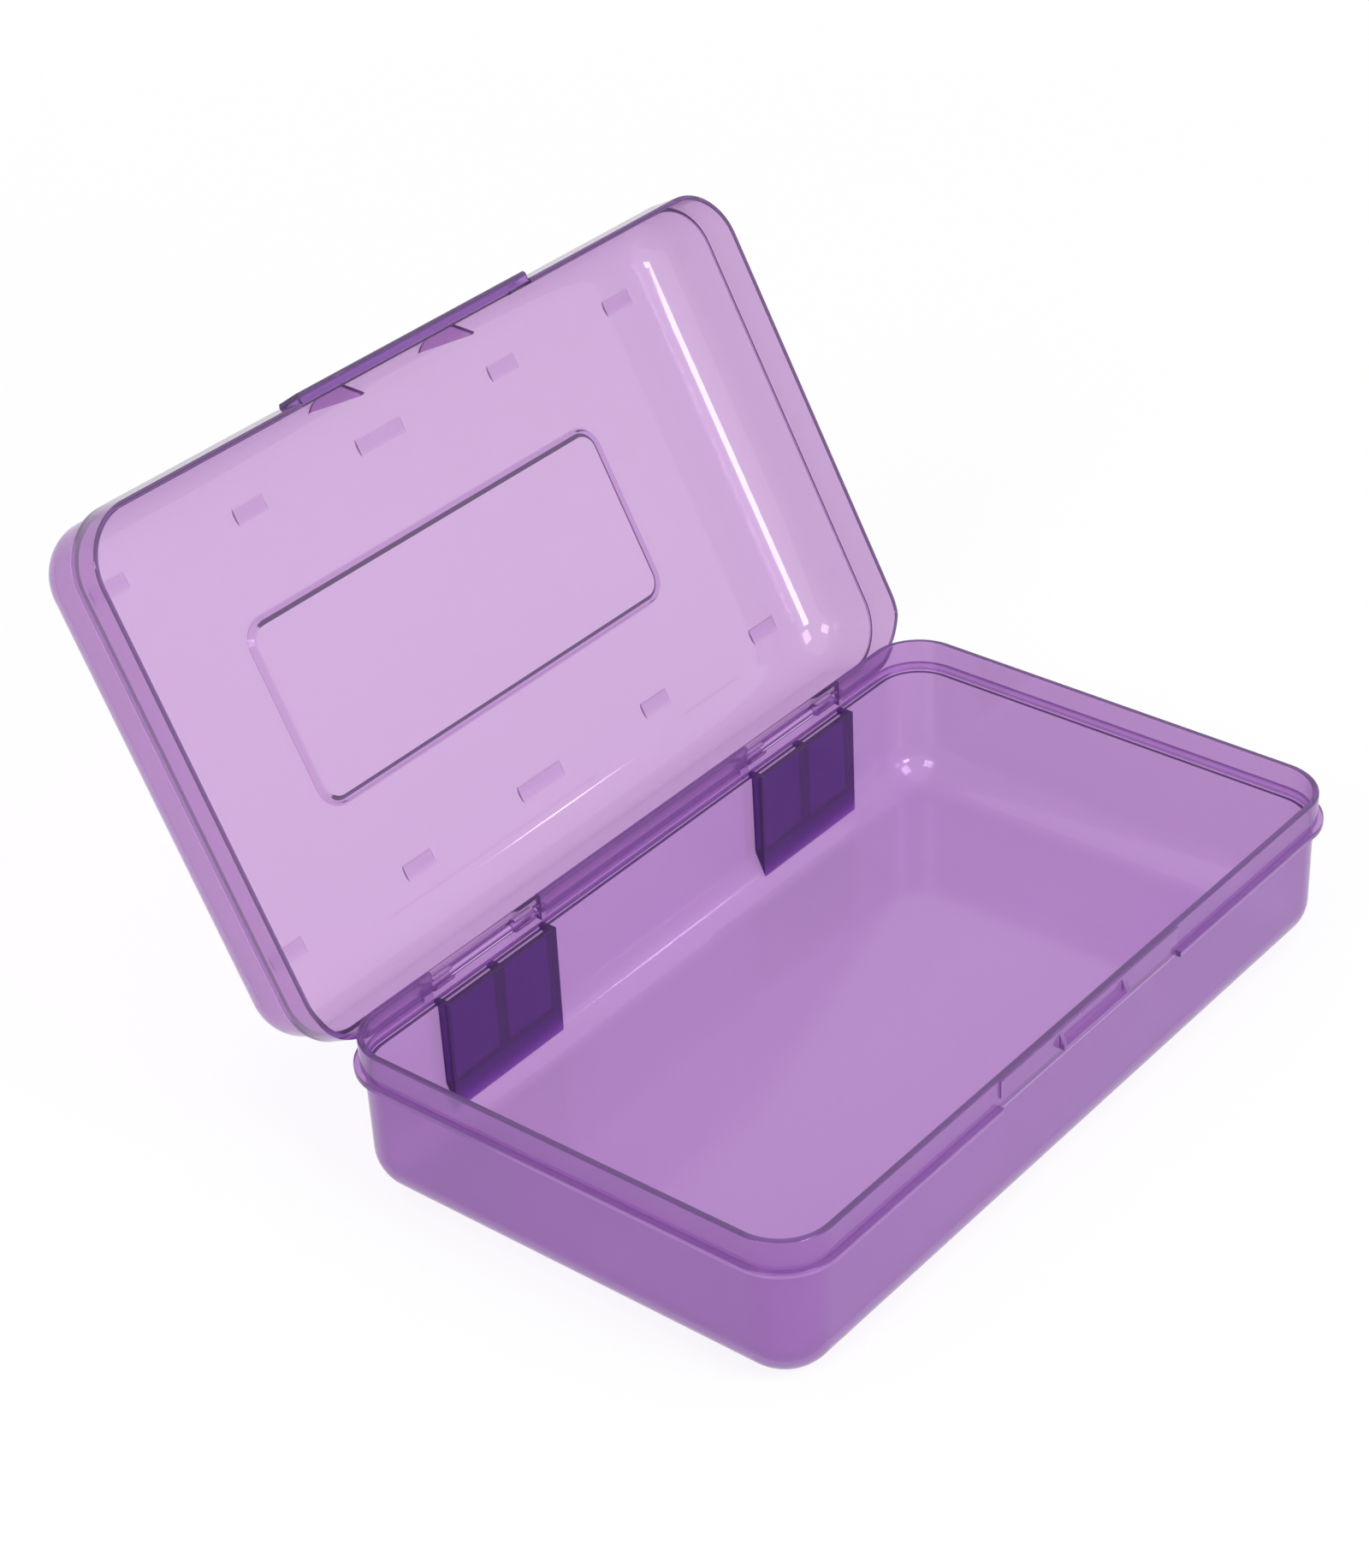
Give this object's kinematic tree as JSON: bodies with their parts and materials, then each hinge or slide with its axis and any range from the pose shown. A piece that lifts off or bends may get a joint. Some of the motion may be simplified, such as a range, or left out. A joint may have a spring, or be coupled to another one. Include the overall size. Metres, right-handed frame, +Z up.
{
  "type": "hinged pencil box",
  "caption": "Shallow translucent plastic pencil box whose hinged lid opens past upright, with a springy latch tab at the front.",
  "frame": {"origin": "middle of the tray's flat underside, on the surface that the box stands on", "axes": "+Z up, +X along the box's length, +Y from the latch side to the hinge side"},
  "size_m": [0.2096, 0.2005, 0.1459],
  "materials": {
    "tray_plastic": "satin translucent purple",
    "lid_plastic": "satin translucent purple"
  },
  "bodies": {
    "tray": {"tray_shell": "tray_plastic", "hinge_guard_left": "tray_plastic", "hinge_guard_right": "tray_plastic", "hinge_pin_left": "tray_plastic", "hinge_pin_right": "tray_plastic", "latch_catch": "tray_plastic"},
    "lid": {"lid_shell": "lid_plastic", "hinge_leaf_left": "lid_plastic", "hinge_leaf_right": "lid_plastic"},
    "tab": {"latch_tab": "lid_plastic"}
  },
  "joints": [
    {"name": "lid_hinge", "type": "hinge", "parent": "tray", "child": "lid", "pos_m": [0, 0.0614, 0.0342], "axis": [1, 0, 0], "range_deg": [0, 118]},
    {"name": "latch_flex", "type": "hinge", "parent": "lid", "child": "tab", "pos_m": [0, 0.1251, 0.13952], "axis": [-1, 0, 0], "range_deg": [0, 9], "stiffness_Nm_per_rad": 0.2}
  ]
}
